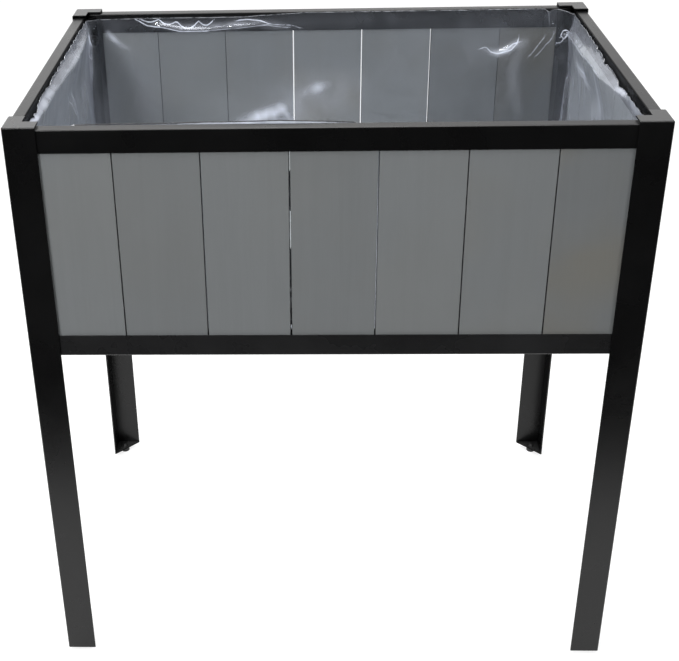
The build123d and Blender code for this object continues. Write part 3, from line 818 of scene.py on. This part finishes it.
def settle(p, spare_s, spare_z, held):
    """Position-based cloth on the loop of film: p is rows x columns x 3. spare_s and spare_z are
    the extra share of film along and down the wall, and held is 0 where the film is fixed."""
    rows, columns, _ = p.shape
    r_all, c_all = np.arange(rows), np.arange(columns)
    sets = []
    spare_both = (spare_s + spare_z) / 2

    def add(dr, dc, pick_r, pick_c, spare, stiff):
        r = pick_r[pick_r + dr < rows]
        r = r[r + dr >= 0]
        rr, cc = np.meshgrid(r, pick_c, indexing="ij")
        a = (rr, cc)
        b = (rr + dr, (cc + dc) % columns)
        rest = np.linalg.norm(p[b] - p[a], axis=-1) * (1 + spare[a])
        sets.append((a, b, rest, stiff, held[a], held[b]))

    for odd in (0, 1):
        add(0, 1, r_all, c_all[odd::2], spare_s, STRETCH)
        add(1, 0, r_all[odd::2], c_all, spare_z, STRETCH)
        add(1, 1, r_all[odd::2], c_all, spare_both, SHEAR)
        add(1, -1, r_all[odd::2], c_all, spare_both, SHEAR)
    for pair in (0, 2):
        some_c = c_all[(c_all % 4 == pair) | (c_all % 4 == pair + 1)]
        some_r = r_all[(r_all % 4 == pair) | (r_all % 4 == pair + 1)]
        add(0, 2, r_all, some_c, spare_s, BEND)
        add(2, 0, some_r, c_all, spare_z, BEND)
    last = p.copy()
    for _ in range(SETTLE_STEPS):
        move = SPEED_KEPT * (p - last)
        np.clip(move, -MOST_MOVE, MOST_MOVE, out=move)
        last[:] = p
        p += move * held[..., None]
        p[..., 2] -= FALL * held
        for a, b, rest, stiff, free_a, free_b in sets:
            pull(p, a, b, rest, stiff, free_a, free_b)
        keep_inside(p)
    for _ in range(3):
        soft = (np.roll(p, 1, axis=1) + 2 * p + np.roll(p, -1, axis=1)) / 4
        p += (soft - p) * held[..., None]


def row_heights(top):
    """Heights of the rows at each column, close together in the hem below the top edge."""
    hem = np.arange(HEM_ROWS)[:, None] * HEM_STEP
    low = top - HEM_STEP * (HEM_ROWS - 1)
    rest = np.linspace(0, 1, WALL_ROWS + 1)[1:, None]
    return np.concatenate([top - hem, low + (FLOOR_Z - low) * rest])


def top_edge(s, round_it):
    """Height of the film's top edge along the loop, gently wavy."""
    stops = sorted((at_wall(wall, a * MM) % round_it, b * MM)
                   for wall, points in EDGE for a, b in points)
    top = np.interp(s, [a for a, _ in stops], [b for _, b in stops], period=round_it)
    where = np.stack([s, np.zeros(len(s))], axis=1)
    return top + 0.0004 * value_noise(where, 0.03, 3) + 0.0003 * value_noise(where, 0.012, 4)


def trim_ragged(p, s):
    """Cuts the top edge unevenly on the side walls, sliding the top rows down the film."""
    where = np.stack([s, np.zeros(len(s))], axis=1)
    ragged = np.clip(value_noise(where, 0.008, 7, 2) * 2.0, 0, 1)
    side = np.clip((np.abs(p[0, :, 0]) - 0.35) / 0.01, 0, 1)
    cut = 0.04 + 0.25 * ragged * side
    old = p[:4].copy()
    for row in range(3):
        at = 3 * cut + row * (1 - cut)
        low = np.minimum(at.astype(int), 2)
        part = (at - low)[:, None]
        every = np.arange(p.shape[1])
        p[row] = old[low, every] * (1 - part) + old[low + 1, every] * part


def make_walls():
    """The settled walls of film as rows x columns x 3 and, at each point, how white it is painted
    (haze and painted glow), how far from the creases of each group, and how bright their
    painted highlights are."""
    loop, inward, s, round_it = wall_loop()
    top = top_edge(s, round_it)
    heights = row_heights(top[None])
    rows, columns = heights.shape
    along = np.broadcast_to(s, heights.shape)
    seed, held = film_seed(along, heights, round_it)
    where = np.stack([along.ravel(), heights.ravel()], axis=1)
    below = top[None] - heights
    hem = np.clip(1 - below / 0.03, 0, 1)
    rough = np.abs(value_noise(where, 0.03, 11))
    rough += 0.7 * np.abs(value_noise(where, 0.012, 12)) * hem.ravel() * 2
    calm = np.clip((np.abs(corner_distance(loop)) - 0.01) / 0.03, 0.1, 1)[None]
    crumple = CRUMPLE * calm * rough.reshape(rows, columns)
    broad = np.clip(value_noise(where * (1, 0.5), 0.09, 21).reshape(rows, columns), 0, 1)
    billow = BILLOW * calm * broad
    off = FILM_GAP + seed + (crumple + billow) * np.clip(below / 0.006, 0.08, 1)
    p = np.zeros((rows, columns, 3))
    p[..., :2] = loop[None] + inward[None] * off[..., None]
    p[..., 2] = heights
    keep_inside(p)
    held[0] = 0
    held[-1] = 0
    spare_s = 0.0008 + 0.0025 * hem
    spare_z = 0.002 + 0.008 * np.clip(value_noise(where, 0.11, 31).reshape(rows, columns), 0, 1)
    settle(p, spare_s, spare_z, held)
    trim_ragged(p, s)
    poke_through(p)
    apart, share = crease_lines(along, heights, round_it)
    return p, haze_and_painted_glow(along, heights, round_it), apart, share


def poke_through(p):
    """Draws one upright line of the film into a seam between two front boards, as a tight fold
    that stands out through the seam over the stretches in POKES."""
    front = np.where(p[0, :, 1] < IN_FRONT)[0]
    crest = front[np.argmin(np.abs(p[0, front, 0] - PINCH_X))]
    for low, high in POKES:
        along = np.clip((p[:, crest, 2] - low) / (high - low), 0, 1)
        out = np.sin(np.pi * along) ** 0.4
        gather = np.clip(3 * out, 0, 1)
        for side, reach in ((-1, FOOT_OUT), (0, CREST_OUT), (1, FOOT_OUT)):
            column = p[:, crest + side]
            column[:, 0] += gather * (FOLD_X - FOLD_HALF * side - column[:, 0])
            column[:, 1] += gather * (FOLD_FOOT_Y - reach * out - column[:, 1])


def rolled_edge(p):
    """The rows again with ROLLED_ROWS more above them, where the cut edge curls in."""
    ahead = np.roll(p[0], -1, axis=0) - np.roll(p[0], 1, axis=0)
    inward = np.stack([ahead[:, 1], -ahead[:, 0], 0 * ahead[:, 0]], axis=1)
    inward /= np.linalg.norm(inward, axis=1)[:, None]
    up = np.array([0, 0, 1.0])
    rows = [p[0] + 0.0007 * up + 0.0002 * inward, p[0] + 0.0011 * up + 0.0009 * inward]
    return np.concatenate([np.array(rows[::-1]), p])


def film_mesh(walls):
    """Points and faces of the walls and of the floor of film that closes them below."""
    rows, columns, _ = walls.shape
    wide, deep = LONG_STEPS + SLANT_STEPS, SHORT_STEPS + SLANT_STEPS
    points = walls.reshape(-1, 3)
    faces = []
    for r in range(rows - 1):
        for c in range(columns):
            d = (c + 1) % columns
            here, under = r * columns, (r + 1) * columns
            faces.append((here + c, under + c, under + d, here + d))
    index = -np.ones((wide + 1, deep + 1), int)
    base = (rows - 1) * columns
    ring = [(i, deep) for i in range(wide)] + [(wide, deep - j) for j in range(deep)]
    ring += [(wide - i, 0) for i in range(wide)] + [(0, j) for j in range(deep)]
    for k, (i, j) in enumerate(ring):
        index[i, j] = base + k
    inner = [(i, j) for i in range(1, wide) for j in range(1, deep)]
    for k, (i, j) in enumerate(inner):
        index[i, j] = len(points) + k
    grid = np.zeros((wide + 1, deep + 1, 3))
    grid[..., 0] = np.linspace(-1, 1, wide + 1)[:, None] * WALL_X
    grid[..., 1] = np.linspace(-1, 1, deep + 1)[None] * WALL_Y
    grid[..., 2] = FLOOR_Z
    for i, j in ring:
        grid[i, j] = points[index[i, j]]
    for _ in range(FLOOR_PASSES):
        grid[1:-1, 1:-1] = (grid[2:, 1:-1] + grid[:-2, 1:-1] + grid[1:-1, 2:] + grid[1:-1, :-2]) / 4
    inside = grid[1:-1, 1:-1].reshape(-1, 3)
    inside[:, 2] += RIPPLE * np.abs(value_noise(inside[:, :2], 0.06, 5)) ** 1.3
    points = np.concatenate([points, inside])
    for i in range(wide):
        for j in range(deep):
            faces.append((index[i, j], index[i + 1, j], index[i + 1, j + 1], index[i, j + 1]))
    return points, faces


def mark_points(mesh, before, fields):
    """Stores fields on the mesh's points: each one's name, its values on the walls, whose points
    come after so many others, and its value elsewhere."""
    for name, field, elsewhere in fields:
        vector = field.ndim == 3
        kind, key = ("FLOAT_VECTOR", "vector") if vector else ("FLOAT", "value")
        own = field.reshape(-1, 3) if vector else field.ravel()
        values = np.full((len(mesh.vertices), *own.shape[1:]), elsewhere, np.float32)
        values[before:before + len(own)] = own
        mesh.attributes.new(name, kind, "POINT").data.foreach_set(key, values.ravel())


def paint_faces(mesh, rolled):
    """The film's four materials: clear, the cut edge painted white as a painted highlight, film
    painted dark over the front rail (painted reflection of the rail) and behind the gap (painted
    shade), and the fold through the gap with a painted glint. The first faces, rolled in number,
    are the curled edge."""
    clear, edge, fold, glint = range(4)
    # film_glint shines of itself: a painted glint.
    for material in (clear_film(), film_edge("film_edge", 0.0), film_painted_dark(),
                     film_edge("film_glint", 0.55)):
        mesh.materials.append(material)
    for k, face in enumerate(mesh.polygons):
        x, y, z = face.center
        over_rail = y < HEM_FOLD_Y and HEM_FOLD_X[0] < x < HEM_FOLD_X[1]
        behind_gap = y < IN_FRONT and abs(x - PINCH_X) < PINCH_HALF and PINCH_LOW < z < PINCH_TOP
        in_fold = abs(x - FOLD_X) < FOLD_HALF and any(low < z < high for low, high in POKES)
        # Behind the gap the film is painted dark as painted shade, with a painted glint on the fold.
        if behind_gap:
            face.material_index = glint if in_fold else fold
        elif k < rolled:
            face.material_index = fold if over_rail else edge
        else:
            face.material_index = clear


def make_liner():
    """The soft liner of clear film, in place of the CAD solid."""
    walls, white, apart, share = make_walls()
    points, faces = film_mesh(rolled_edge(walls))
    mesh = bpy.data.meshes.new("liner_sheet")
    mesh.from_pydata(points.tolist(), [], [tuple(int(i) for i in f) for f in faces])
    mesh.shade_smooth()
    rolled = ROLLED_ROWS * walls.shape[1]
    mark_points(mesh, rolled, [("white", white, 0.0), ("crease_share", share, 0.0),
                               ("crease_distance", apart, FAR_FROM_CREASE)])
    paint_faces(mesh, rolled)
    film = bpy.data.objects.new("liner_sheet", mesh)
    SCENE.collection.objects.link(film)
    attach(film, "root")
    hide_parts("liner")


# ---------------------------------------------------------------- the scene
make_camera()
make_studio()
finish_frame()
finish_boards()
make_liner()
SCENE.view_settings.view_transform = "Standard"
SCENE.view_settings.look = "None"
SCENE.view_settings.exposure = 0.0
SCENE.view_settings.gamma = 1.0
